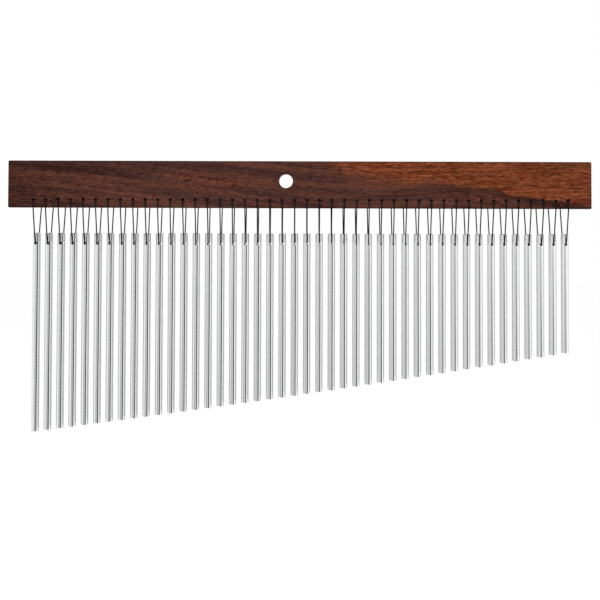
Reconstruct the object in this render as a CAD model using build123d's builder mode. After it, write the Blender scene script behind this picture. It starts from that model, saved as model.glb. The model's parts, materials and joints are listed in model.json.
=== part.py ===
from build123d import *
import os
from math import asin, atan2, cos, hypot, sin, tan

# Bar chimes: a hardwood mantle with a graded row of solid aluminium bars, each hung in its own loop of cord.
# The origin is the centre of the mounting hole, halfway through the mantle.
# X runs along the mantle towards the short bars, Y points away from the player and Z points up.
# All sizes are in millimetres.

# Row of bars
BAR_COUNT = 44
BAR_PITCH = 15.875
BAR_DIAMETER = 9.525
LONGEST_BAR = 254.0
SHORTEST_BAR = 152.4
LENGTH_BOW = 3.2  # how far the bars in the middle of the row are longer than an even grading
BAR_DROP = 33.0  # from the lower face of the mantle down to the tops of the bars
BAR_HOLE_WIDTH = 3.175
BAR_HOLE_BELOW_TOP = 12.7

# Mantle
MANTLE_HEIGHT = 60.325
MANTLE_THICKNESS = 25.4
MANTLE_EDGE_RADIUS = 2.0
LEFT_MARGIN = 33.0  # from the left end to the first cord hole
RIGHT_MARGIN = 30.4  # from the last cord hole to the right end
MOUNT_HOLE_DIAMETER = 18.0
MOUNT_HOLE_FROM_LEFT = 355.0
MOUNT_HOLE_BELOW_TOP = 25.4
CORD_HOLE_WIDTH = 3.175
CORD_HOLE_ABOVE_BOTTOM = 10.5

# Cord loops
CORD_DIAMETER = 1.6
CORD_BEVEL_SHARE = 0.32  # of its diameter: the flat that breaks a corner where the cord turns into a hole

# Clearances
CORD_TO_MANTLE = 0.1
CORD_TO_BAR_HOLE = 0.15
CORD_TO_BAR_SIDE = 0.3

# The small repeated holes and the cords have few sides, so that the long row stays light
HOLE_SIDES = 6
HOLE_TURN = 30.0  # degrees, which stands two of the sides upright
CORD_SIDES = 4

# Places along the row
MANTLE_LENGTH = LEFT_MARGIN + (BAR_COUNT - 1) * BAR_PITCH + RIGHT_MARGIN
MANTLE_CENTRE_X = MANTLE_LENGTH / 2 - MOUNT_HOLE_FROM_LEFT
FIRST_BAR_X = LEFT_MARGIN - MOUNT_HOLE_FROM_LEFT
BAR_PLACES = [FIRST_BAR_X + index * BAR_PITCH for index in range(BAR_COUNT)]

# Heights
MANTLE_BOTTOM = MOUNT_HOLE_BELOW_TOP - MANTLE_HEIGHT
MANTLE_CENTRE_Z = MOUNT_HOLE_BELOW_TOP - MANTLE_HEIGHT / 2
CORD_HOLE_Z = MANTLE_BOTTOM + CORD_HOLE_ABOVE_BOTTOM
BAR_TOP = MANTLE_BOTTOM - BAR_DROP
BAR_HOLE_Z = BAR_TOP - BAR_HOLE_BELOW_TOP

# Flat across each corner of a cord
CORD_BEVEL = CORD_BEVEL_SHARE * CORD_DIAMETER


def bar_length(index):
    """Length of a bar: an even grading along the row, with a slight bow in the middle."""
    share = index / (BAR_COUNT - 1)
    even = LONGEST_BAR + share * (SHORTEST_BAR - LONGEST_BAR)
    return even + LENGTH_BOW * 4 * share * (1 - share)


def front_route():
    """Points of the front half of a loop in its Y-Z plane, from the middle of the mantle's hole,
    down the front face, to the middle of the bar's hole."""
    cord_radius = CORD_DIAMETER / 2
    face_y = MANTLE_THICKNESS / 2 + CORD_TO_MANTLE + cord_radius
    mouth_y = BAR_DIAMETER / 2 + CORD_TO_BAR_SIDE + cord_radius
    mantle_run_z = CORD_HOLE_Z - CORD_HOLE_WIDTH / 2 + CORD_TO_MANTLE + cord_radius
    bar_run_z = BAR_HOLE_Z + BAR_HOLE_WIDTH / 2 - CORD_TO_BAR_HOLE - cord_radius

    # The leg turns round the mantle's lower edge and leans in to the bar, tangent to that rounding
    edge_turn = MANTLE_EDGE_RADIUS + CORD_TO_MANTLE + cord_radius
    edge_centre_z = MANTLE_BOTTOM + MANTLE_EDGE_RADIUS
    reach = MANTLE_THICKNESS / 2 - MANTLE_EDGE_RADIUS - mouth_y
    drop = edge_centre_z - bar_run_z
    lean = atan2(reach, drop) + asin(edge_turn / hypot(reach, drop))
    edge_z = edge_centre_z - edge_turn * tan(lean / 2)

    return [
        (0, mantle_run_z),
        (CORD_BEVEL - face_y, mantle_run_z),
        (-face_y, mantle_run_z - CORD_BEVEL),
        (-face_y, edge_z),
        (-mouth_y - CORD_BEVEL * sin(lean), bar_run_z + CORD_BEVEL * cos(lean)),
        (CORD_BEVEL - mouth_y, bar_run_z),
        (0, bar_run_z),
    ]


os.makedirs("parts", exist_ok=True)

# Mantle: a rounded bar, drilled from face to face
with BuildPart() as mantle:
    with BuildSketch(Plane.XZ):
        with Locations((MANTLE_CENTRE_X, MANTLE_CENTRE_Z)):
            Rectangle(MANTLE_LENGTH, MANTLE_HEIGHT)
    extrude(amount=MANTLE_THICKNESS / 2, both=True)
    fillet(mantle.edges(), radius=MANTLE_EDGE_RADIUS)
    with BuildSketch(Plane.XZ):
        Circle(MOUNT_HOLE_DIAMETER / 2)
        with Locations([(place, CORD_HOLE_Z) for place in BAR_PLACES]):
            RegularPolygon(CORD_HOLE_WIDTH / 2, HOLE_SIDES, major_radius=False, rotation=HOLE_TURN)
    extrude(amount=MANTLE_THICKNESS / 2, both=True, mode=Mode.SUBTRACT)
mantle.part.label = "mantle"
export_step(mantle.part, "parts/mantle.step")

# Chime bars: plain rods with square-cut ends, cross-drilled for the cord
for index, place in enumerate(BAR_PLACES):
    with BuildPart() as chime_bar:
        with BuildSketch(Plane((place, 0, BAR_TOP))):
            Circle(BAR_DIAMETER / 2)
        extrude(amount=-bar_length(index))
        with BuildSketch(Plane.XZ):
            with Locations((place, BAR_HOLE_Z)):
                RegularPolygon(BAR_HOLE_WIDTH / 2, HOLE_SIDES, major_radius=False, rotation=HOLE_TURN)
        extrude(amount=BAR_DIAMETER / 2, both=True, mode=Mode.SUBTRACT)
    bar_name = f"chime_bar_{index + 1:02d}"
    chime_bar.part.label = bar_name
    export_step(chime_bar.part, f"parts/{bar_name}.step")

# One cord loop: its two halves, in front of the mantle and behind it, are alike
with BuildPart() as cord_loop:
    with BuildLine(Plane.YZ):
        route = Polyline(front_route())
    with BuildSketch(Plane(origin=route @ 0, z_dir=route % 0)):
        RegularPolygon(CORD_DIAMETER / 2, CORD_SIDES)
    sweep(transition=Transition.RIGHT)
    mirror(about=Plane.XZ)

# All the loops, each a separate solid
with BuildPart() as cord_loops:
    with Locations([(place, 0, 0) for place in BAR_PLACES]):
        add(cord_loop.part)
cord_loops.part.label = "cord_loops"
export_step(cord_loops.part, "parts/cord_loops.step")
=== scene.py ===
import json
import random
from math import asin, atan2, cos, hypot, pi, radians, sin, sqrt, tan

import bmesh
import bpy
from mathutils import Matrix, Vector


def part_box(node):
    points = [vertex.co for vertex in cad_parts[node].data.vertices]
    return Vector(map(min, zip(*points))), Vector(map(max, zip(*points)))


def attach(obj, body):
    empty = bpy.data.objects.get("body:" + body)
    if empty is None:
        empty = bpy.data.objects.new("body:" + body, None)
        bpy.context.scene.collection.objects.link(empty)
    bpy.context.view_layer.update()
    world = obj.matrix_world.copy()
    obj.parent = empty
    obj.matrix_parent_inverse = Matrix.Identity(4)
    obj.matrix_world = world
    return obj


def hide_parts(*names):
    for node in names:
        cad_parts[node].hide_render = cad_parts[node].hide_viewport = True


# Bar chimes: polished aluminium bars on braided cord loops under an oiled hardwood mantle.
# All lengths are in metres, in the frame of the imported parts: X along the row towards the short bars,
# Y away from the player, Z up, with the origin in the middle of the mounting hole.

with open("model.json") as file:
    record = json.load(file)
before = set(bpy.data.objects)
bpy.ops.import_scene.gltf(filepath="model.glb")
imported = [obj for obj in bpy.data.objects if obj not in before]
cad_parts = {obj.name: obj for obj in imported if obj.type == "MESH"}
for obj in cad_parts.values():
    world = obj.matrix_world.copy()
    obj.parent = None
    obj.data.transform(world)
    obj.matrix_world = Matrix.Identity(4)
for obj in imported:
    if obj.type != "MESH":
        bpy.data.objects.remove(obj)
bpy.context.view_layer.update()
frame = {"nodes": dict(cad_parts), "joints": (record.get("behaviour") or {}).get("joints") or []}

MM = 0.001
SEED = 44
random.seed(SEED)

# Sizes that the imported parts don't give
BAR_HOLE_RADIUS = 1.5875 * MM
BAR_HOLE_BELOW_TOP = 12.7 * MM
BAR_HOLE_BREAK = 0.35 * MM  # bevel round each mouth of a bar's cross hole
BAR_END_BREAK = 0.4 * MM  # bevel round each end of a bar
CORD_HOLE_WIDTH = 3.175 * MM
CORD_HOLE_ABOVE_BOTTOM = 10.5 * MM
MANTLE_EDGE_RADIUS = 2.0 * MM
CORD_DIAMETER = 1.6 * MM
CORD_BEVEL_SHARE = 0.32  # of its diameter: the flat that breaks a corner where the cord turns into a hole
CORD_BEVEL = CORD_BEVEL_SHARE * CORD_DIAMETER
CORD_TO_MANTLE = 0.1 * MM
CORD_TO_BAR_HOLE = 0.15 * MM
CORD_TO_BAR_SIDE = 0.3 * MM

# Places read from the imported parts
BARS = [joint["child"] for joint in frame["joints"]]
HINGES = {joint["child"]: Vector(joint["pos_m"]) for joint in frame["joints"]}
MANTLE_LOW, MANTLE_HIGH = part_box("mantle")
MANTLE_HALF = MANTLE_HIGH.y
FIRST_BAR_LOW, FIRST_BAR_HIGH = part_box(BARS[0])
BAR_RADIUS = (FIRST_BAR_HIGH.x - FIRST_BAR_LOW.x) / 2
BAR_TOP = FIRST_BAR_HIGH.z
BAR_HOLE_Z = BAR_TOP - BAR_HOLE_BELOW_TOP
CORD_HOLE_Z = MANTLE_LOW.z + CORD_HOLE_ABOVE_BOTTOM

# Camera, at the photograph's viewing angle
CAMERA_PLACE = (18.2 * MM, -869.3 * MM, -13.6 * MM)
CAMERA_PITCH = radians(1.0)
CAMERA_ROLL = radians(-0.167)
CAMERA_LENS = 40.26  # millimetres, on a sensor 36 mm wide
CAMERA_SHIFT_Y = -0.2


# Shader helpers

NOISE_MIDDLE = 0.5  # noise varies about this value


def new_material(name):
    """A new material, its node tree and its Principled shader."""
    material = bpy.data.materials.new(name)
    material.use_nodes = True
    tree = material.node_tree
    return material, tree, tree.nodes["Principled BSDF"]


def feed(tree, socket, value):
    """Links a socket to another one, or sets it to a value."""
    if isinstance(value, bpy.types.NodeSocket):
        tree.links.new(value, socket)
    else:
        socket.default_value = value


def add_node(tree, kind, settings=None, **inputs):
    """A node of that kind. Settings are the node's own choices, and inputs are values or sockets to link.
    An input is named by its socket, with _ for a space, or by its number, as in i0."""
    node = tree.nodes.new(kind)
    for name, value in (settings or {}).items():
        setattr(node, name, value)
    for name, value in inputs.items():
        numbered = name[1:].isdigit()
        feed(tree, node.inputs[int(name[1:]) if numbered else name.replace("_", " ")], value)
    return node


def maths(tree, operation, first, second=0.0, third=0.0, clamp=False):
    """The result of one step of arithmetic on sockets or numbers."""
    choices = {"operation": operation, "use_clamp": clamp}
    return add_node(tree, "ShaderNodeMath", choices, i0=first, i1=second, i2=third).outputs[0]


def ramp(tree, value, base, gain):
    """A base plus a gain times the value."""
    return maths(tree, "MULTIPLY_ADD", value, gain, base)


def about_zero(tree, noise):
    """The same noise, varying about 0."""
    return maths(tree, "SUBTRACT", noise, NOISE_MIDDLE)


def distance(tree, first, second):
    """The length of a step of first one way and second square to it."""
    squares = [maths(tree, "POWER", maths(tree, "ABSOLUTE", side), 2.0) for side in (first, second)]
    return maths(tree, "SQRT", maths(tree, "ADD", *squares))


def smooth_step(tree, value, low, high):
    """A soft step from 0 at low to 1 at high."""
    choices = {"interpolation_type": "SMOOTHSTEP"}
    step = add_node(tree, "ShaderNodeMapRange", choices, Value=value, From_Min=low, From_Max=high)
    return step.outputs["Result"]


def smooth_fall(tree, value, low, high):
    """A soft step from 1 at low to 0 at high."""
    return maths(tree, "SUBTRACT", 1.0, smooth_step(tree, value, low, high))


def stretched_noise(tree, place, sizes, detail, roughness, distortion=0.0, turn=0.0):
    """Noise whose features are about as long as sizes along X, Y and Z, turned about Y."""
    mapping = add_node(
        tree, "ShaderNodeMapping", {"vector_type": "TEXTURE"},
        Vector=place, Rotation=(0.0, turn, 0.0), Scale=sizes,
    )
    noise = add_node(
        tree, "ShaderNodeTexNoise", {"noise_dimensions": "3D"},
        Vector=mapping.outputs["Vector"], Scale=1.0,
        Detail=detail, Roughness=roughness, Distortion=distortion,
    )
    return noise.outputs["Fac"]


# Of the Mix node's inputs, 0 is the share, 2 and 3 are its numbers, and 6 and 7 are its colours

def mix_numbers(tree, share, first, second):
    """A number between two, by a share from 0 to 1."""
    node = add_node(tree, "ShaderNodeMix", {"data_type": "FLOAT"}, i0=share, i2=first, i3=second)
    return node.outputs[0]


def mix_colours(tree, share, first, second):
    """A colour between two, by a share from 0 to 1. Each colour is a socket, or red, green and blue."""
    first, second = ((*end, 1.0) if isinstance(end, tuple) else end for end in (first, second))
    node = add_node(tree, "ShaderNodeMix", {"data_type": "RGBA"}, i0=share, i6=first, i7=second)
    return node.outputs[2]


def place_in_piece(tree):
    """A point's place in its piece's own frame, and that place's X, Y and Z."""
    place = add_node(tree, "ShaderNodeTexCoord").outputs["Object"]
    return place, add_node(tree, "ShaderNodeSeparateXYZ", Vector=place).outputs


def add_relief(tree, shader, height, strength, depth):
    """Gives the shader a fine relief."""
    bump = add_node(tree, "ShaderNodeBump", Strength=strength, Distance=depth, Height=height)
    feed(tree, shader.inputs["Normal"], bump.outputs["Normal"])


# Wood

WOOD_DARK = (0.034, 0.0085, 0.0050)
WOOD_PLUM = (0.112, 0.0450, 0.0390)
WOOD_RED = (0.172, 0.0590, 0.0370)
# A brighter orange for the painted sheen on the patch of crossed fibres
WOOD_PAINTED_SHEEN = (0.250, 0.0700, 0.0380)
WOOD_ORANGE = (0.340, 0.0930, 0.0380)
WOOD_GOLD = (0.290, 0.0880, 0.0260)
WOOD_TAN = (0.130, 0.0215, 0.0050)
WOOD_LINE = (0.050, 0.0100, 0.0020)
WOOD_OLIVE = (0.085, 0.0360, 0.0100)
WOOD_PORE = (0.018, 0.0058, 0.0036)
# Near-black painted shade for the walls of the cord holes and a rim round their mouths
WOOD_HOLE_SHADE = (0.004, 0.0020, 0.0016)

# Noise in the wood: sizes of its features along X, Y and Z, then detail, roughness and distortion
BAND_NOISE = ((200 * MM, 30 * MM, 7.5 * MM), 3.0, 0.55, 0.4)
DARK_STREAK_NOISE = ((40 * MM, 10 * MM, 1.9 * MM), 4.0, 0.65, 0.3)
RIPPLE_NOISE = ((2.6 * MM, 6.0 * MM, 10 * MM), 2.0, 0.5, 0.6)
PALE_STREAK_NOISE = ((50 * MM, 10 * MM, 2.8 * MM), 4.0, 0.6, 0.5)
HUE_NOISE = ((80 * MM, 30 * MM, 6.0 * MM), 2.0, 0.5)
LINE_WAVE_NOISE = ((18 * MM, 30 * MM, 30 * MM), 2.0, 0.5, 0.3)
LINE_BREAK_NOISE = ((30 * MM, 6.0 * MM, 5.0 * MM), 2.0, 0.5)
FLECK_NOISE = ((9.0 * MM, 1.8 * MM, 1.5 * MM), 2.0, 0.6, 0.5)
PORE_NOISE = ((6.0 * MM, 1.0 * MM, 0.7 * MM), 2.0, 0.5)
SPECK_NOISE = ((2.2 * MM, 1.2 * MM, 1.2 * MM), 2.0, 0.6)

# A share says how far the colour of a feature covers the wood

# The grain falls towards the short bars, and turns by these slopes, up or down, beyond these places
GRAIN_FALL = 0.11
GRAIN_EASE = 80 * MM  # how gently it bends
DARK_BENDS = ((80 * MM, 0.14), (235 * MM, -0.19))
PALE_BENDS = ((80 * MM, 0.13),)

# Dark wood: weights of its bands and flecks beside its streaks, and where it goes from dark to light
BAND_WEIGHT = 0.8
DARK_FLECK_WEIGHT = 1.25
DARK_RANGE = (1.20, 2.08)
DARK_HUES = (0.38, 0.60)  # where its bands go from plum to red

# Steps in the tone of the dark wood along the mantle: where each begins and ends, and how much lighter
# the wood gets there
DARK_TONES = ((-355 * MM, -130 * MM, 0.24), (60 * MM, 100 * MM, 0.08), (190 * MM, 230 * MM, -0.20))

# A patch of crossed fibres in the dark wood: its ripples are the wood's figure, and its lighter colour is a
# painted sheen
RIPPLE_TURN = radians(52.0)
RIPPLE_PLACE = (-102 * MM, -10.2 * MM)  # along the mantle, and its height above the grain line
RIPPLE_REACH = (80 * MM, 11 * MM)
RIPPLE_FADE = (0.2, 1.1)  # of its reach
RIPPLE_STRENGTH = (0.6, 1.1)  # outside the patch, and how much more inside it
PAINTED_SHEEN_SHARE = 0.5

# Pale wood: weights of its streaks and flecks, and where it goes from tan to light
PALE_STREAK_WEIGHT = 1.1
PALE_FLECK_WEIGHT = 1.5
PALE_RANGE = (1.02, 1.62)
PALE_HUES = (0.46, 0.62)  # where it goes from orange to gold
OLIVE_ALONG = (300 * MM, 375 * MM)
OLIVE_ABOVE = (12 * MM, 21 * MM)
OLIVE_SHARE = 0.42

# Thin dark lines in the pale wood
LINE_SPACING = 7.2 * MM
LINE_BEND = 14.0 * MM
LINE_MIDDLE = 0.5  # of the spacing
LINE_EDGE = (0.04, 0.18)  # of the spacing, from a line's middle
LINE_WHOLE = (0.43, 0.58)  # where the noise that breaks a line lets it show
LINE_SHARE = 0.75

# One split in the pale wood
CRACK_LEFT, CRACK_RIGHT = 151 * MM, 180 * MM
CRACK_ENDS = (1 / 2, 1 / 3)  # shares of its length over which it opens and closes
CRACK_HEIGHT = 11.2 * MM
CRACK_SLOPE = 0.09
CRACK_HALF_WIDTH = 1.1 * MM

# Curves along the mantle: places in millimetres along X, and heights there
PALE_BOUNDARY = (  # where the pale wood begins
    (35, 34), (60, 17), (90, 5), (150, -3.5), (190, -3), (242, -7.5), (272, -11.5), (290, -19),
    (330, -23), (391, -32),
)
GROWTH_LINE = (  # a dark line in the wood below it
    (50, -9), (80, -17.5), (105, -19.5), (150, -17.8), (190, -14.8), (222, -12.8), (237, -15),
    (253, -22.5), (270, -27),
)
GROWTH_HALF_WIDTH = 1.6 * MM
GROWTH_RAGGED = 6.0 * MM
GROWTH_ENDS = (0.2, 0.1)  # shares of its length over which it begins and ends
GROWTH_SHARE = 0.75

# The boundary slants through the thickness. It is sharp on the right, and ragged and soft on the left
BOUNDARY_SLANT = 0.35
BOUNDARY_FADE = (95 * MM, 260 * MM)
BOUNDARY_RAGGED = (6.0 * MM, 34 * MM)  # on the right, and what the left adds to it
BOUNDARY_SOFTNESS = (2.2 * MM, 16 * MM)  # on the right, and what the left adds to it

# Depths past the boundary, in multiples of its softness: where dark wood goes over to pale wood, and where
# the dark rim between them comes in and goes out
PALE_DEPTH = (-0.6, 1.0)
RIM_BEGINS = (-4.0, -0.4)
RIM_ENDS = (-0.4, 0.8)
RIM_SHARE = (0.5, -0.4)  # on the right, and what the left adds to it

# Fine dark pores all over
PORE_RANGE = (0.56, 0.67)
PORE_SHARE = 0.7

# Painted shade along the mantle's rounded outer edges, and in and round the cord holes: darkest up to one
# distance, plain from the other
EDGE_SHADE_REACH = (0.3 * MM, 2.1 * MM)
EDGE_SHADE_SHARE = 0.6
HOLE_SHADE_REACH = (1.75 * MM, 2.35 * MM)  # from a hole's middle

# Surface of the wood
WOOD_ROUGHNESS = (0.44, 0.16)  # at least, and how much more on specks
WOOD_SPECULAR = 0.04
STREAK_RELIEF = 0.3  # beside that of the pores
WOOD_RELIEF = 0.35
WOOD_RELIEF_DEPTH = 0.25 * MM


def curve_height(tree, along, spots):
    """The height of a curve at a place along the mantle."""
    places = [place for place, _ in spots]
    heights = [height for _, height in spots]
    span = places[-1] - places[0]
    rise = max(heights) - min(heights)
    share = add_node(
        tree, "ShaderNodeMapRange", Value=along,
        From_Min=places[0] * MM, From_Max=places[-1] * MM,
    ).outputs["Result"]
    curve = add_node(tree, "ShaderNodeFloatCurve", Value=share)
    points = curve.mapping.curves[0].points
    while len(points) < len(spots):
        points.new(0.5, 0.5)  # anywhere, because the next lines put it in place
    for point, (place, height) in zip(points, spots):
        point.location = ((place - places[0]) / span, (height - min(heights)) / rise)
    curve.mapping.update()
    return ramp(tree, curve.outputs["Value"], min(heights) * MM, rise * MM)


def along_stretch(tree, along, first, last, opening, closing):
    """1 along a stretch of the mantle, rising and falling over shares of its length at its ends, else 0."""
    length = last - first
    opens = smooth_step(tree, along, first, first + opening * length)
    closes = smooth_fall(tree, along, last - closing * length, last)
    return maths(tree, "MULTIPLY", opens, closes)


def edge_distance(tree, parts):
    """How far a point of the mantle's faces lies in from the nearest of its outer edges."""
    sides = []
    for axis in ("X", "Z"):
        low, high = getattr(MANTLE_LOW, axis.lower()), getattr(MANTLE_HIGH, axis.lower())
        sides.append(maths(tree, "SUBTRACT", parts[axis], low))
        sides.append(maths(tree, "SUBTRACT", high, parts[axis]))
    nearest = sides[0]
    for side in sides[1:]:
        nearest = maths(tree, "MINIMUM", nearest, side)
    return nearest


def hole_distance(tree, parts):
    """How far a point of the mantle's faces lies from the middle of the nearest cord hole."""
    first, last = HINGES[BARS[0]].x, HINGES[BARS[-1]].x
    last_number = len(BARS) - 1
    pitch = (last - first) / last_number
    pitches = maths(tree, "DIVIDE", maths(tree, "SUBTRACT", parts["X"], first), pitch)
    number = maths(tree, "MAXIMUM", maths(tree, "ROUND", pitches), 0.0)
    number = maths(tree, "MINIMUM", number, float(last_number))
    aside = maths(tree, "SUBTRACT", parts["X"], ramp(tree, number, first, pitch))
    return distance(tree, aside, maths(tree, "SUBTRACT", parts["Z"], CORD_HOLE_Z))


def along_grain(tree, parts, bends):
    """The place in the wood with its height measured from a grain line, and that height."""
    height = maths(tree, "MULTIPLY_ADD", parts["X"], GRAIN_FALL, parts["Z"])
    for place, slope in bends:
        past = maths(tree, "SMOOTH_MAX", maths(tree, "SUBTRACT", parts["X"], place), 0.0, GRAIN_EASE)
        height = maths(tree, "MULTIPLY_ADD", past, -slope, height)
    grain = add_node(tree, "ShaderNodeCombineXYZ", X=parts["X"], Y=parts["Y"], Z=height).outputs[0]
    return grain, height


def wavy_lines(tree, grain, height):
    """Thin dark lines along the pale wood, bent by waves and broken here and there: 1 on a line, else 0."""
    waves = stretched_noise(tree, grain, *LINE_WAVE_NOISE)
    bent = maths(tree, "MULTIPLY_ADD", waves, LINE_BEND, height)
    phase = maths(tree, "FRACT", maths(tree, "DIVIDE", bent, LINE_SPACING))
    off_line = maths(tree, "ABSOLUTE", maths(tree, "SUBTRACT", phase, LINE_MIDDLE))
    line = smooth_fall(tree, off_line, *LINE_EDGE)
    breaks = stretched_noise(tree, grain, *LINE_BREAK_NOISE)
    return maths(tree, "MULTIPLY", line, smooth_step(tree, breaks, *LINE_WHOLE))


def crack(tree, parts):
    """A short dark split in the pale wood: 1 inside it, else 0."""
    from_left = maths(tree, "SUBTRACT", parts["X"], CRACK_LEFT)
    middle = ramp(tree, from_left, CRACK_HEIGHT, CRACK_SLOPE)
    off = maths(tree, "ABSOLUTE", maths(tree, "SUBTRACT", parts["Z"], middle))
    across = smooth_fall(tree, off, 0.0, CRACK_HALF_WIDTH)
    along = along_stretch(tree, parts["X"], CRACK_LEFT, CRACK_RIGHT, *CRACK_ENDS)
    return maths(tree, "MULTIPLY", across, along)


def growth_line(tree, parts, streaks):
    """A dark line along the dark wood that breaks up and fades at its ends: 1 on the line, else 0."""
    off = maths(tree, "SUBTRACT", parts["Z"], curve_height(tree, parts["X"], GROWTH_LINE))
    frayed = maths(tree, "MULTIPLY_ADD", about_zero(tree, streaks), GROWTH_RAGGED, off)
    across = smooth_fall(tree, maths(tree, "ABSOLUTE", frayed), 0.0, GROWTH_HALF_WIDTH)
    first, last = GROWTH_LINE[0][0] * MM, GROWTH_LINE[-1][0] * MM
    return maths(tree, "MULTIPLY", across, along_stretch(tree, parts["X"], first, last, *GROWTH_ENDS))


def ripples(tree, place, parts, height):
    """Ripples across the grain, about 0, and how far a point is inside the patch where they are strong."""
    across = stretched_noise(tree, place, *RIPPLE_NOISE, turn=RIPPLE_TURN)
    offs = []
    for value, middle, reach in zip((parts["X"], height), RIPPLE_PLACE, RIPPLE_REACH):
        offs.append(maths(tree, "DIVIDE", maths(tree, "SUBTRACT", value, middle), reach))
    inside = smooth_fall(tree, distance(tree, *offs), *RIPPLE_FADE)
    strength = ramp(tree, inside, *RIPPLE_STRENGTH)
    return maths(tree, "MULTIPLY", strength, about_zero(tree, across)), inside


def dark_wood(tree, place, parts, flecks):
    """Colour and streaks of the heartwood: broad bands, ripples and short flecks, with a tone that changes
    along the mantle."""
    grain, height = along_grain(tree, parts, DARK_BENDS)
    bands = stretched_noise(tree, grain, *BAND_NOISE)
    streaks = stretched_noise(tree, grain, *DARK_STREAK_NOISE)
    rippled, inside = ripples(tree, place, parts, height)
    figure = maths(tree, "MULTIPLY_ADD", bands, BAND_WEIGHT, streaks)
    figure = maths(tree, "MULTIPLY_ADD", flecks, DARK_FLECK_WEIGHT, figure)
    figure = maths(tree, "ADD", figure, rippled)
    for begin, end, step in DARK_TONES:
        figure = maths(tree, "MULTIPLY_ADD", smooth_step(tree, parts["X"], begin, end), step, figure)
    light = mix_colours(tree, smooth_step(tree, bands, *DARK_HUES), WOOD_PLUM, WOOD_RED)
    # Painted sheen: inside the ripple patch the light colour goes over to a brighter orange
    light = mix_colours(tree, maths(tree, "MULTIPLY", inside, PAINTED_SHEEN_SHARE), light, WOOD_PAINTED_SHEEN)
    colour = mix_colours(tree, smooth_step(tree, figure, *DARK_RANGE), WOOD_DARK, light)
    line = maths(tree, "MULTIPLY", growth_line(tree, parts, streaks), GROWTH_SHARE)
    return mix_colours(tree, line, colour, WOOD_DARK), streaks


def pale_wood(tree, parts, flecks):
    """Colour and streaks of the outer wood: thin wavy lines, a split, and a greener upper corner."""
    grain, height = along_grain(tree, parts, PALE_BENDS)
    streaks = stretched_noise(tree, grain, *PALE_STREAK_NOISE)
    hues = stretched_noise(tree, grain, *HUE_NOISE)
    flecked = maths(tree, "MULTIPLY", flecks, PALE_FLECK_WEIGHT)
    figure = maths(tree, "MULTIPLY_ADD", streaks, PALE_STREAK_WEIGHT, flecked)
    light = mix_colours(tree, smooth_step(tree, hues, *PALE_HUES), WOOD_ORANGE, WOOD_GOLD)
    colour = mix_colours(tree, smooth_step(tree, figure, *PALE_RANGE), WOOD_TAN, light)
    lines = maths(tree, "MULTIPLY", wavy_lines(tree, grain, height), LINE_SHARE)
    colour = mix_colours(tree, lines, colour, WOOD_LINE)
    colour = mix_colours(tree, crack(tree, parts), colour, WOOD_PORE)
    along = smooth_step(tree, parts["X"], *OLIVE_ALONG)
    corner = maths(tree, "MULTIPLY", along, smooth_step(tree, parts["Z"], *OLIVE_ABOVE))
    return mix_colours(tree, maths(tree, "MULTIPLY", corner, OLIVE_SHARE), colour, WOOD_OLIVE), streaks


def join_woods(tree, parts, dark, pale, streaks):
    """The dark wood below the boundary and the pale wood above it, with a dark rim between them."""
    behind_front = maths(tree, "SUBTRACT", parts["Y"], MANTLE_LOW.y)
    slanted = maths(tree, "MULTIPLY_ADD", behind_front, BOUNDARY_SLANT, parts["Z"])
    fade = smooth_fall(tree, parts["X"], *BOUNDARY_FADE)
    ragged = ramp(tree, fade, *BOUNDARY_RAGGED)
    frayed = maths(tree, "MULTIPLY_ADD", about_zero(tree, streaks), ragged, slanted)
    above = maths(tree, "SUBTRACT", frayed, curve_height(tree, parts["X"], PALE_BOUNDARY))
    depth = maths(tree, "DIVIDE", above, ramp(tree, fade, *BOUNDARY_SOFTNESS))
    colour = mix_colours(tree, smooth_step(tree, depth, *PALE_DEPTH), dark, pale)
    past_rim = smooth_step(tree, depth, *RIM_ENDS)
    rim = maths(tree, "SUBTRACT", smooth_step(tree, depth, *RIM_BEGINS), past_rim)
    rim = maths(tree, "MULTIPLY", rim, ramp(tree, fade, *RIM_SHARE))
    return mix_colours(tree, rim, colour, WOOD_DARK)


def wood_material():
    """Oiled hardwood: dark red-brown heartwood, paler orange wood at the upper right, fine dark pores."""
    material, tree, shader = new_material("oiled_hardwood")
    place, parts = place_in_piece(tree)
    grain, _ = along_grain(tree, parts, PALE_BENDS)
    flecks = stretched_noise(tree, grain, *FLECK_NOISE)
    pores = stretched_noise(tree, grain, *PORE_NOISE)
    specks = stretched_noise(tree, place, *SPECK_NOISE)
    dark, dark_streaks = dark_wood(tree, place, parts, flecks)
    pale, pale_streaks = pale_wood(tree, parts, flecks)
    colour = join_woods(tree, parts, dark, pale, pale_streaks)

    pore_share = maths(tree, "MULTIPLY", smooth_step(tree, pores, *PORE_RANGE), PORE_SHARE)
    colour = mix_colours(tree, pore_share, colour, WOOD_PORE)
    # Painted shade: the wood goes towards the pores' dark colour along its rounded outer edges
    edges = smooth_fall(tree, edge_distance(tree, parts), *EDGE_SHADE_REACH)
    colour = mix_colours(tree, maths(tree, "MULTIPLY", edges, EDGE_SHADE_SHARE), colour, WOOD_PORE)
    # Painted shade, near black, on the walls of the cord holes and on a rim round their mouths
    holes = smooth_fall(tree, hole_distance(tree, parts), *HOLE_SHADE_REACH)
    colour = mix_colours(tree, holes, colour, WOOD_HOLE_SHADE)

    feed(tree, shader.inputs["Base Color"], colour)
    feed(tree, shader.inputs["Roughness"], ramp(tree, specks, *WOOD_ROUGHNESS))
    feed(tree, shader.inputs["Specular IOR Level"], WOOD_SPECULAR)
    relief = maths(tree, "SUBTRACT", maths(tree, "MULTIPLY", dark_streaks, STREAK_RELIEF), pore_share)
    add_relief(tree, shader, relief, WOOD_RELIEF, WOOD_RELIEF_DEPTH)
    return material


# Aluminium

BAR_DULL = (0.86, 0.865, 0.875)
BAR_BRIGHT = (0.950, 0.955, 0.960)
BAR_HOLE_SHADE = (0.05, 0.05, 0.05)

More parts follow.
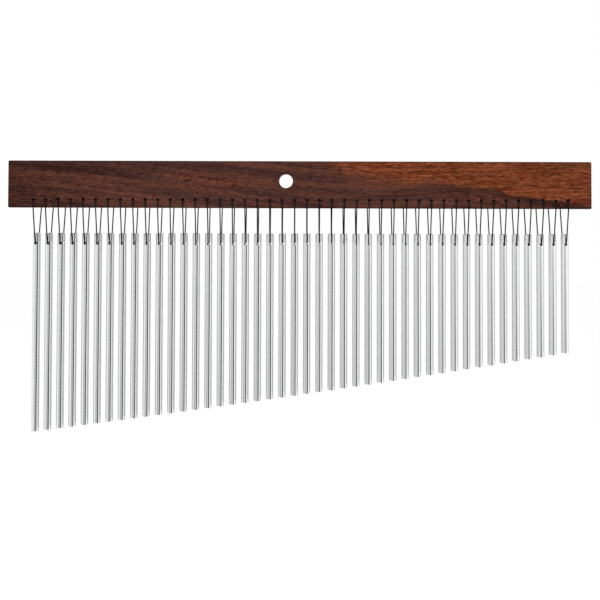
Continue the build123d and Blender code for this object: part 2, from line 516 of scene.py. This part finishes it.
# Noise on the bars: sizes of its features along X, Y and Z, then detail and roughness
DRAWN_LINE_NOISE = ((0.6 * MM, 0.6 * MM, 120 * MM), 3.0, 0.6)
DRAWN_TONE_NOISE = ((1.6 * MM, 1.6 * MM, 300 * MM), 2.0, 0.5)
HAZE_NOISE = ((4.0 * MM, 4.0 * MM, 18 * MM), 3.0, 0.6)
WAVE_NOISE = ((8.0 * MM, 8.0 * MM, 45 * MM), 1.0, 0.5)

DRAWN_TONES = (0.3, 0.6)  # where the noise goes from dull to bright
TURNED_PITCH = 0.35 * MM  # from one turned mark on a cut end to the next
END_FACING = (0.6, 0.9)  # how far a face points up or down, where a wall goes over to an end
HOLE_REACH = (3.0 * MM, 4.0 * MM)  # up and down from the hinge, where the hole's shade goes out
HOLE_DEPTH = (0.1 * MM, 0.4 * MM)  # in from the wall, where the hole's shade begins

# Roughness of the polish, and what lines, haze, cut ends and holes add to it
POLISH = 0.08
LINE_ROUGHNESS = 0.08
HAZE_ROUGHNESS = 0.05
END_ROUGHNESS = 0.18
HOLE_ROUGHNESS = 0.5
WAVE_RELIEF = 2.0  # beside that of the lines
BAR_RELIEF = 0.3
BAR_RELIEF_DEPTH = 0.01 * MM


def aluminium_material():
    """Polished drawn aluminium: faint lines along the bar, turned marks on its cut ends."""
    material, tree, shader = new_material("polished_aluminium")
    place, parts = place_in_piece(tree)
    spot = add_node(tree, "ShaderNodeObjectInfo").outputs["Location"]
    shifted = add_node(tree, "ShaderNodeVectorMath", {"operation": "ADD"}, i0=place, i1=spot).outputs[0]
    lines = stretched_noise(tree, shifted, *DRAWN_LINE_NOISE)
    tones = stretched_noise(tree, shifted, *DRAWN_TONE_NOISE)
    haze = stretched_noise(tree, shifted, *HAZE_NOISE)
    waves = stretched_noise(tree, shifted, *WAVE_NOISE)

    from_axis = distance(tree, parts["X"], parts["Y"])
    turned = maths(tree, "SINE", maths(tree, "MULTIPLY", from_axis, 2 * pi / TURNED_PITCH))
    facing = add_node(tree, "ShaderNodeNewGeometry").outputs["Normal"]
    upright = add_node(tree, "ShaderNodeSeparateXYZ", Vector=facing).outputs["Z"]
    on_end = smooth_step(tree, maths(tree, "ABSOLUTE", upright), *END_FACING)

    near_hinge = smooth_fall(tree, maths(tree, "ABSOLUTE", parts["Z"]), *HOLE_REACH)
    below_wall = smooth_step(tree, maths(tree, "SUBTRACT", BAR_RADIUS, from_axis), *HOLE_DEPTH)
    in_hole = maths(tree, "MULTIPLY", near_hinge, below_wall)

    shade = mix_colours(tree, smooth_step(tree, tones, *DRAWN_TONES), BAR_DULL, BAR_BRIGHT)
    feed(tree, shader.inputs["Base Color"], mix_colours(tree, in_hole, shade, BAR_HOLE_SHADE))
    roughness = ramp(tree, haze, POLISH, HAZE_ROUGHNESS)
    for share, more in ((lines, LINE_ROUGHNESS), (on_end, END_ROUGHNESS), (in_hole, HOLE_ROUGHNESS)):
        roughness = maths(tree, "MULTIPLY_ADD", share, more, roughness)
    feed(tree, shader.inputs["Roughness"], roughness)
    feed(tree, shader.inputs["Metallic"], 1.0)
    wall_relief = maths(tree, "MULTIPLY_ADD", waves, WAVE_RELIEF, lines)
    relief = mix_numbers(tree, on_end, wall_relief, turned)
    add_relief(tree, shader, relief, BAR_RELIEF, BAR_RELIEF_DEPTH)
    return material


# Cord

CORD_BLACK = (0.0035, 0.0035, 0.0040)
CORD_WORN = (0.0110, 0.0105, 0.0105)

# Noise on the cord: sizes of its features along X, Y and Z, then detail and roughness
FIBRE_NOISE = ((0.3 * MM, 0.3 * MM, 0.3 * MM), 3.0, 0.6)
WEAR_NOISE = ((12 * MM, 12 * MM, 12 * MM), 2.0, 0.5)

WORN_SHARE = 0.5  # of both noises together: how far the cord goes from black to worn
CORD_ROUGHNESS = (0.45, 0.25)  # at least, and how much more on fibres
CORD_SPECULAR = 0.15
CORD_SHEEN = 0.04
CORD_SHEEN_ROUGHNESS = 0.4
CORD_RELIEF = 0.4
CORD_RELIEF_DEPTH = 0.06 * MM


def cord_material():
    """Black braided nylon with a slight sheen."""
    material, tree, shader = new_material("black_braided_cord")
    place = add_node(tree, "ShaderNodeTexCoord").outputs["Object"]
    fibres = stretched_noise(tree, place, *FIBRE_NOISE)
    worn = stretched_noise(tree, place, *WEAR_NOISE)
    share = maths(tree, "MULTIPLY", maths(tree, "ADD", fibres, worn), WORN_SHARE)
    feed(tree, shader.inputs["Base Color"], mix_colours(tree, share, CORD_BLACK, CORD_WORN))
    feed(tree, shader.inputs["Roughness"], ramp(tree, fibres, *CORD_ROUGHNESS))
    feed(tree, shader.inputs["Specular IOR Level"], CORD_SPECULAR)
    feed(tree, shader.inputs["Sheen Weight"], CORD_SHEEN)
    feed(tree, shader.inputs["Sheen Roughness"], CORD_SHEEN_ROUGHNESS)
    add_relief(tree, shader, fibres, CORD_RELIEF, CORD_RELIEF_DEPTH)
    return material


# Mesh helpers

SHARP_ANGLE = radians(20)


def new_piece(name, vertices, faces, material, origin):
    """A mesh object from points given relative to its origin, with outward normals and crisp edges."""
    shape = bmesh.new()
    corners = [shape.verts.new(vertex) for vertex in vertices]
    for face in faces:
        shape.faces.new([corners[index] for index in face])
    bmesh.ops.recalc_face_normals(shape, faces=shape.faces)
    mesh = bpy.data.meshes.new(name)
    shape.to_mesh(mesh)
    shape.free()
    mesh.shade_smooth()
    mesh.set_sharp_from_angle(angle=SHARP_ANGLE)
    mesh.materials.append(material)
    piece = bpy.data.objects.new(name, mesh)
    piece.location = origin
    bpy.context.scene.collection.objects.link(piece)
    return piece


def add_ring(vertices, faces, outer, points):
    """Adds a loop of points, joined to an outer loop by a ring of faces. Gives the new loop's numbers."""
    inner = list(range(len(vertices), len(vertices) + len(points)))
    vertices.extend(points)
    for step in range(len(outer)):
        after = (step + 1) % len(outer)
        faces.append((outer[step], inner[step], inner[after], outer[after]))
    return inner


# Bars: round rods with bevelled ends and a round cross hole with bevelled mouths

PATCH = 12  # columns and rows of the square patch of faces round each mouth of the cross hole
COLUMNS = 4 * PATCH
PATCH_STARTS = (0, 2 * PATCH)  # the first column of the patch in front and of the one behind
PATCH_HALF_HEIGHT = 3.4 * MM
PATCH_RINGS = 2  # rings of faces between the patch's border and the mouth
END_ROWS = 2  # rows of points at each end of a bar: at the end's rim, and past its bevel
PATCH_TOP, PATCH_FOOT = END_ROWS, END_ROWS + PATCH  # the patches' first and last rows
BORDER_START = -1 / 8  # of a turn, because a patch's border starts at its upper left, seen from outside
MOUTH_TURNS = [2 * pi * (step / COLUMNS + BORDER_START) for step in range(COLUMNS)]


def round_the_bar(column):
    """The turn of a column of points round the bar, from the middle of its front."""
    return 2 * pi * (column - PATCH / 2) / COLUMNS


def on_the_bar(turn, radius, height):
    """A point at that turn, radius and height."""
    return Vector((radius * sin(turn), -radius * cos(turn), height))


def bar_rows(top, bottom, hole_z):
    """Radius and height of each row of points, from a bar's top to its bottom."""
    end_radius = BAR_RADIUS - BAR_END_BREAK
    rows = [(end_radius, top), (BAR_RADIUS, top - BAR_END_BREAK)]
    for row in range(PATCH + 1):
        rows.append((BAR_RADIUS, hole_z + PATCH_HALF_HEIGHT * (1 - 2 * row / PATCH)))
    return rows + [(BAR_RADIUS, bottom + BAR_END_BREAK), (end_radius, bottom)]


def bar_wall(rows):
    """Points and faces of a bar's wall and ends, open at the patches. Also each point's number by its row
    and column."""
    vertices, faces, grid = [], [], {}
    for row, (radius, height) in enumerate(rows):
        for column in range(COLUMNS):
            within = any(start < column < start + PATCH for start in PATCH_STARTS)
            if not (within and PATCH_TOP < row < PATCH_FOOT):
                grid[row, column] = len(vertices)
                vertices.append(on_the_bar(round_the_bar(column), radius, height))
    for row in range(len(rows) - 1):
        for column in range(COLUMNS):
            on_patch = any(start <= column < start + PATCH for start in PATCH_STARTS)
            if not (on_patch and PATCH_TOP <= row < PATCH_FOOT):
                after = (column + 1) % COLUMNS
                corners = (row, column), (row + 1, column), (row + 1, after), (row, after)
                faces.append([grid[corner] for corner in corners])
    for row in (0, len(rows) - 1):
        faces.append([grid[row, column] for column in range(COLUMNS)])
    return vertices, faces, grid


def patch_border(start):
    """Row and column of each point round a patch: along its top, down, back along its foot and up."""
    steps = range(PATCH)
    border = [(PATCH_TOP, start + step) for step in steps]
    border += [(PATCH_TOP + step, start + PATCH) for step in steps]
    border += [(PATCH_FOOT, start + PATCH - step) for step in steps]
    return border + [(PATCH_FOOT - step, start) for step in steps]


def ring_points(rows, border, middle, hole_z, share):
    """Points of a ring between a patch's border, at share 0, and the hole's mouth, at share 1."""
    mouth_radius = BAR_HOLE_RADIUS + BAR_HOLE_BREAK
    points = []
    for (row, column), mouth_turn in zip(border, MOUTH_TURNS):
        border_at, border_z = round_the_bar(column), rows[row][1]
        mouth_at = middle + asin(mouth_radius * sin(mouth_turn) / BAR_RADIUS)
        mouth_z = hole_z + mouth_radius * cos(mouth_turn)
        turn = border_at + share * (mouth_at - border_at)
        points.append(on_the_bar(turn, BAR_RADIUS, border_z + share * (mouth_z - border_z)))
    return points


def mouth_points(middle, hole_z):
    """Points where the bevel of a mouth meets the wall of the hole."""
    facing = Vector((sin(middle), -cos(middle), 0))
    across = Vector((cos(middle), sin(middle), 0))
    points = []
    for mouth_turn in MOUTH_TURNS:
        aside = BAR_HOLE_RADIUS * sin(mouth_turn)
        depth = sqrt(BAR_RADIUS ** 2 - aside ** 2) - BAR_HOLE_BREAK
        height = hole_z + BAR_HOLE_RADIUS * cos(mouth_turn)
        points.append(aside * across + depth * facing + Vector((0, 0, height)))
    return points


def bar_shape(top, bottom, hole_z):
    """Points and faces of a bar. The cross hole goes from the patch in front to the one behind."""
    rows = bar_rows(top, bottom, hole_z)
    vertices, faces, grid = bar_wall(rows)
    mouths = []
    for start in PATCH_STARTS:
        middle = round_the_bar(start + PATCH / 2)
        border = patch_border(start)
        loop = [grid[spot] for spot in border]
        for ring in range(1, PATCH_RINGS + 1):
            points = ring_points(rows, border, middle, hole_z, ring / PATCH_RINGS)
            loop = add_ring(vertices, faces, loop, points)
        mouths.append(add_ring(vertices, faces, loop, mouth_points(middle, hole_z)))

    # Each mouth's points go round as seen from its own side, so the rear ones are taken backwards
    front, rear = mouths
    for step in range(COLUMNS):
        far = (PATCH - step) % COLUMNS
        faces.append((front[step], rear[far], rear[far - 1], front[(step + 1) % COLUMNS]))
    return vertices, faces


def build_bars(material):
    """One rod for each bar, on the body that swings it."""
    for number, node in enumerate(BARS, start=1):
        low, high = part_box(node)
        hinge = HINGES[node]
        shape = bar_shape(high.z - hinge.z, low.z - hinge.z, BAR_HOLE_Z - hinge.z)
        rod = new_piece(f"rod_{number:02d}", *shape, material, hinge)
        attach(rod, node)
        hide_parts(node)


# Cords: one braided loop for each bar, knotted behind the mantle

BRAID_SIDES = 12
BRAID_STEP = 0.4 * MM
BRAID_LENGTH = 2.0 * MM  # along the cord, from one crossing of the strands to the next alike
BRAID_LOBES = 4
BRAID_RELIEF = 0.09  # of the cord's radius
BRAID_SINK = 0.5  # share of the relief by which all of it lies deeper
LEG_BOW = 0.25 * MM  # how far a leg may stand out sideways
LEG_STRAIGHT = 6 * CORD_DIAMETER  # a leg runs straight this far from each of its ends
KNOT_TURNS = 2.5
KNOT_STEPS = 10  # points for each turn of the knot
KNOT_PITCH = 1.05 * CORD_DIAMETER  # from one turn of the knot to the next
KNOT_LENGTH = KNOT_TURNS * KNOT_PITCH
KNOT_RADIUS = 1.5 * CORD_DIAMETER  # of the whole knot: half of the leg inside it, and a turn about that
KNOT_GAP = 0.15 * MM  # between the mantle and a knot
KNOT_SLACK = 1.5 * MM  # how far below its hole a knot may hang
SLACK_POWER = 3  # leaves most knots close to their holes
TAIL_LENGTH = 4.5 * MM
TAIL_SPREAD = (0.7, 1.1)  # the shortest and the longest tails, as shares of that length
CURVE_ORDER = 3  # route points that steer each stretch of a cord's curve
CURVE_STEPS = 24  # points that each stretch is read at

# Points of the tails at a knot's two ends, as shares of their length: on round the knot, back and down
FIRST_TAIL = ((-1.0, 0.5, 0.6), (-0.5, 0.1, 0.0))
LAST_TAIL = ((0.5, 0.1, 0.0), (1.0, 0.4, 0.7))


def knot_centre(slack):
    """The middle of a knot, which stops its hole from behind."""
    return Vector((0, MANTLE_HALF + KNOT_GAP + KNOT_RADIUS, CORD_HOLE_Z - slack))


def cord_route(bow_front, bow_rear, slack):
    """Points of a closed loop: through the mantle's hole to the front, down to the bar, through the
    bar's hole, and up behind to the knot at the rear of the mantle."""
    cord_radius = CORD_DIAMETER / 2
    face_y = MANTLE_HALF + CORD_TO_MANTLE + cord_radius
    mouth_y = BAR_RADIUS + CORD_TO_BAR_SIDE + cord_radius
    mantle_run_z = CORD_HOLE_Z - CORD_HOLE_WIDTH / 2 + CORD_TO_MANTLE + cord_radius
    bar_run_z = BAR_HOLE_Z + BAR_HOLE_RADIUS - CORD_TO_BAR_HOLE - cord_radius

    # The front leg turns round the mantle's lower edge and leans in to the bar, tangent to that rounding
    edge_turn = MANTLE_EDGE_RADIUS + CORD_TO_MANTLE + cord_radius
    edge_centre_z = MANTLE_LOW.z + MANTLE_EDGE_RADIUS
    reach = MANTLE_HALF - MANTLE_EDGE_RADIUS - mouth_y
    drop = edge_centre_z - bar_run_z
    lean = atan2(reach, drop) + asin(edge_turn / hypot(reach, drop))
    edge_z = edge_centre_z - edge_turn * tan(lean / 2)

    # Both legs run straight for a way from each end
    front_edge = Vector((0, -face_y, edge_z))
    front_mouth = Vector((0, -mouth_y - CORD_BEVEL * sin(lean), bar_run_z + CORD_BEVEL * cos(lean)))
    front_way = (front_mouth - front_edge).normalized()
    knot = knot_centre(slack)
    rear_mouth = Vector((0, mouth_y + CORD_BEVEL * sin(lean), bar_run_z + CORD_BEVEL * cos(lean)))
    rear_edge = knot - Vector((0, 0, KNOT_LENGTH / 2 + CORD_DIAMETER))
    rear_way = (rear_edge - rear_mouth).normalized()
    return [
        Vector((0, 0, mantle_run_z)),
        Vector((0, CORD_BEVEL - face_y, mantle_run_z)),
        Vector((0, -face_y, mantle_run_z - CORD_BEVEL)),
        front_edge,
        front_edge + LEG_STRAIGHT * front_way + Vector((bow_front, 0, 0)),
        front_mouth - LEG_STRAIGHT * front_way + Vector((bow_front, 0, 0)),
        front_mouth,
        Vector((0, CORD_BEVEL - mouth_y, bar_run_z)),
        Vector((0, mouth_y - CORD_BEVEL, bar_run_z)),
        rear_mouth,
        rear_mouth + LEG_STRAIGHT * rear_way + Vector((bow_rear, 0, 0)),
        rear_edge - LEG_STRAIGHT * rear_way + Vector((bow_rear, 0, 0)),
        rear_edge,
        knot,
        Vector((0, MANTLE_HALF, mantle_run_z)),
    ]


def tail_points(root, way, shares, length):
    """Points of a tail that leaves a knot at its root."""
    back, down = Vector((0, 1, 0)), Vector((0, 0, -1))
    return [root + length * (on * way + out * back + fall * down) for on, out, fall in shares]


def knot_route(turn, tail_length, slack):
    """Points of the knot: a tail, turns wound close about the rear leg, and the other tail."""
    centre = knot_centre(slack)
    count = int(KNOT_TURNS * KNOT_STEPS)
    coil = []
    for step in range(count + 1):
        angle = turn + 2 * pi * step / KNOT_STEPS
        height = KNOT_LENGTH * (1 / 2 - step / count)
        coil.append(centre + Vector((CORD_DIAMETER * sin(angle), CORD_DIAMETER * cos(angle), height)))
    first_way = (coil[1] - coil[0]).normalized()
    last_way = (coil[-1] - coil[-2]).normalized()
    first_tail = tail_points(coil[0], first_way, FIRST_TAIL, tail_length)
    last_tail = tail_points(coil[-1], last_way, LAST_TAIL, tail_length)
    return first_tail + coil + last_tail


def smooth_line(points, closed):
    """Points along the smooth curve that the route's points steer."""
    curve = bpy.data.curves.new("cord_line", "CURVE")
    curve.dimensions = "3D"
    spline = curve.splines.new("NURBS")
    spline.points.add(len(points) - 1)
    for spot, point in zip(spline.points, points):
        spot.co = (*point, 1.0)
    spline.order_u = CURVE_ORDER
    spline.use_endpoint_u = not closed
    spline.use_cyclic_u = closed
    spline.resolution_u = CURVE_STEPS
    holder = bpy.data.objects.new("cord_line", curve)
    mesh = bpy.data.meshes.new_from_object(holder)
    line = [vertex.co.copy() for vertex in mesh.vertices]
    bpy.data.objects.remove(holder)
    bpy.data.curves.remove(curve)
    bpy.data.meshes.remove(mesh)
    return line


def even_line(line, closed):
    """The same line with its points an even step apart, and the step."""
    ends = line[1:] + line[:1] if closed else line[1:]
    lengths = [(end - start).length for start, end in zip(line, ends)]
    count = round(sum(lengths) / BRAID_STEP)
    step = sum(lengths) / count
    spots, gone, index = [], 0.0, 0
    for number in range(count + (0 if closed else 1)):
        wanted = number * step
        while index < len(lengths) - 1 and gone + lengths[index] < wanted:
            gone += lengths[index]
            index += 1
        share = min(1.0, (wanted - gone) / lengths[index])
        spots.append(line[index].lerp(ends[index], share))
    return spots, step


def braided_tube(line, closed):
    """Points and faces of a round braided cord along a line."""
    spots, step = even_line(line, closed)
    count = len(spots)
    vertices, faces = [], []
    normal = None
    for number, spot in enumerate(spots):
        before = spots[number - 1] if closed or number else spot
        after = spots[(number + 1) % count] if closed or number < count - 1 else spot
        along = (after - before).normalized()
        if normal is None:
            normal = along.cross(Vector((1, 0, 0))).normalized()
        normal = (normal - normal.dot(along) * along).normalized()
        aside = along.cross(normal)
        phase = cos(2 * pi * number * step / BRAID_LENGTH)
        for side in range(BRAID_SIDES):
            angle = 2 * pi * side / BRAID_SIDES
            relief = 1 + BRAID_RELIEF * (cos(BRAID_LOBES * angle) * phase - BRAID_SINK)
            radius = CORD_DIAMETER / 2 * relief
            vertices.append(spot + radius * (cos(angle) * normal + sin(angle) * aside))
    for number in range(count if closed else count - 1):
        for side in range(BRAID_SIDES):
            here, there = number * BRAID_SIDES, (number + 1) % count * BRAID_SIDES
            after = (side + 1) % BRAID_SIDES
            faces.append((here + side, here + after, there + after, there + side))
    if not closed:
        last = (count - 1) * BRAID_SIDES
        faces.append(list(range(BRAID_SIDES)))
        faces.append(list(range(last, last + BRAID_SIDES)))
    return vertices, faces


def build_cords(material):
    """One loop for each bar. The mantle carries it."""
    for number, node in enumerate(BARS, start=1):
        origin = Vector((HINGES[node].x, 0, 0))
        bows = [random.uniform(-LEG_BOW, LEG_BOW) for _ in range(2)]
        slack = KNOT_SLACK * random.random() ** SLACK_POWER
        turn = random.uniform(0, 2 * pi)
        tail_length = TAIL_LENGTH * random.uniform(*TAIL_SPREAD)
        loop, loop_faces = braided_tube(smooth_line(cord_route(*bows, slack), True), True)
        knot, knot_faces = braided_tube(smooth_line(knot_route(turn, tail_length, slack), False), False)
        shifted = [[index + len(loop) for index in face] for face in knot_faces]
        cord = new_piece(f"cord_{number:02d}", loop + knot, loop_faces + shifted, material, origin)
        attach(cord, "mantle")
        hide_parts("cord_loops")


# Stage: a white floor and surroundings, soft lamps, and cards that the polished bars mirror

WHITE = (1.0, 1.0, 1.0, 1.0)
FLOOR_Z = -1.2
FLOOR_HALF = 8.0
FLOOR_WHITE = (0.86, 0.86, 0.86, 1.0)
FLOOR_GLOW = 0.60
AMBIENT = 0.45
SOFTBOXES = (  # place, size and power in watts
    ((-1.3, -1.5, 0.7), 1.4, 13.0),
    ((1.3, -1.5, 0.5), 1.4, 13.0),
)
LAMP_TARGET = Vector((0.0, 0.0, -0.1))
CARDS = (  # name, places of its two upright edges in plan, brightness at its foot and at its head
    ("left_card", (-1.60, 0.30), (-1.05, -1.25), 0.88, 0.88),
    ("grey_card", (-1.05, -1.25), (0.85, -1.25), 0.62, 0.75),
    ("right_card", (0.85, -1.25), (1.60, 0.30), 0.97, 0.97),
    ("rear_right_pale", (1.60, 0.30), (1.25, 0.85), 0.76, 0.76),
    ("rear_right_dark", (1.25, 0.85), (0.75, 1.25), 0.30, 0.30),
    ("rear_card", (0.75, 1.25), (-0.75, 1.25), 0.62, 0.62),
    ("rear_left_dark", (-0.75, 1.25), (-1.25, 0.85), 0.46, 0.46),
    ("rear_left_pale", (-1.25, 0.85), (-1.60, 0.30), 0.88, 0.88),
    ("near_card", (-0.36, -0.22), (-0.18, -0.30), 0.46, 0.68),
    ("dark_card", (0.31, -1.20), (0.40, -0.44), 0.02, 0.02),
    ("low_card", (0.40, -0.44), (0.62, -0.59), 0.05, 0.97),
)
CARD_FADE = (-0.36, -0.10)  # heights between which a card's brightness changes
CARD_LOW, CARD_HIGH = -1.15, 0.8


def seen_directly(tree):
    """1 for rays from the camera and for rays mirrored or let through, else 0."""
    path = add_node(tree, "ShaderNodeLightPath").outputs
    mirrored = maths(tree, "ADD", path["Is Glossy Ray"], path["Is Transmission Ray"])
    return maths(tree, "ADD", path["Is Camera Ray"], mirrored, clamp=True)


def build_world():
    """White to the eye and in reflections, with a plain even light on everything else."""
    world = bpy.data.worlds.new("studio")
    bpy.context.scene.world = world
    world.use_nodes = True
    tree = world.node_tree
    tree.nodes.clear()
    backdrop = add_node(tree, "ShaderNodeBackground", Color=WHITE, Strength=1.0).outputs[0]
    light = add_node(tree, "ShaderNodeBackground", Color=WHITE, Strength=AMBIENT).outputs[0]
    mixed = add_node(tree, "ShaderNodeMixShader", i0=seen_directly(tree), i1=light, i2=backdrop)
    add_node(tree, "ShaderNodeOutputWorld", Surface=mixed.outputs[0])


def flat_panel(name, corners, material):
    """A four-sided panel that isn't part of the object."""
    mesh = bpy.data.meshes.new(name)
    mesh.from_pydata(corners, [], [(0, 1, 2, 3)])
    mesh.materials.append(material)
    panel = bpy.data.objects.new(name, mesh)
    bpy.context.scene.collection.objects.link(panel)
    return panel


def build_floor():
    """A white floor that keeps the object's shadow."""
    material, tree, shader = new_material("floor_white")
    feed(tree, shader.inputs["Base Color"], FLOOR_WHITE)
    feed(tree, shader.inputs["Roughness"], 1.0)
    feed(tree, shader.inputs["Specular IOR Level"], 0.0)
    feed(tree, shader.inputs["Emission Color"], WHITE)
    glow = maths(tree, "MULTIPLY", seen_directly(tree), FLOOR_GLOW)
    feed(tree, shader.inputs["Emission Strength"], glow)
    outline = ((-1, -1), (1, -1), (1, 1), (-1, 1))
    corners = [(x * FLOOR_HALF, y * FLOOR_HALF, FLOOR_Z) for x, y in outline]
    flat_panel("floor", corners, material)


def card_material(name, foot, head):
    """A plain glow that changes from a card's foot to its head."""
    material = bpy.data.materials.new(name)
    material.use_nodes = True
    tree = material.node_tree
    tree.nodes.clear()
    _, parts = place_in_piece(tree)
    brightness = add_node(
        tree, "ShaderNodeMapRange", Value=parts["Z"],
        From_Min=CARD_FADE[0], From_Max=CARD_FADE[1], To_Min=foot, To_Max=head,
    ).outputs["Result"]
    glow = add_node(tree, "ShaderNodeEmission", Strength=brightness)
    add_node(tree, "ShaderNodeOutputMaterial", Surface=glow.outputs[0])
    return material


def build_cards():
    """Upright cards about the object, seen only as reflections."""
    for name, left, right, foot, head in CARDS:
        corners = [(*left, CARD_LOW), (*right, CARD_LOW), (*right, CARD_HIGH), (*left, CARD_HIGH)]
        card = flat_panel(name, corners, card_material(name, foot, head))
        card.visible_camera = False
        card.visible_diffuse = False
        card.visible_shadow = False
        card.visible_transmission = False


def build_lamps():
    """Two large soft lamps in front, left and right."""
    for number, (place, size, power) in enumerate(SOFTBOXES, start=1):
        lamp = bpy.data.lights.new(f"softbox_{number}", "AREA")
        lamp.size = size
        lamp.energy = power
        holder = bpy.data.objects.new(f"softbox_{number}", lamp)
        holder.location = place
        holder.rotation_euler = (LAMP_TARGET - Vector(place)).to_track_quat("-Z", "Y").to_euler()
        holder.visible_glossy = False
        bpy.context.scene.collection.objects.link(holder)


def build_camera():
    """The camera, in front of the mantle, a little below its mounting hole and to the right of it."""
    lens = bpy.data.cameras.new("camera")
    lens.lens = CAMERA_LENS
    lens.shift_y = CAMERA_SHIFT_Y
    camera = bpy.data.objects.new("camera", lens)
    camera.location = CAMERA_PLACE
    camera.rotation_euler = (pi / 2 + CAMERA_PITCH, CAMERA_ROLL, 0.0)
    bpy.context.scene.collection.objects.link(camera)
    bpy.context.scene.camera = camera


bpy.context.scene.view_settings.view_transform = "Standard"
build_camera()
build_cords(cord_material())
build_bars(aluminium_material())
mantle = frame["nodes"]["mantle"]
mantle.data.materials.clear()
mantle.data.materials.append(wood_material())
build_world()
build_floor()
build_cards()
build_lamps()
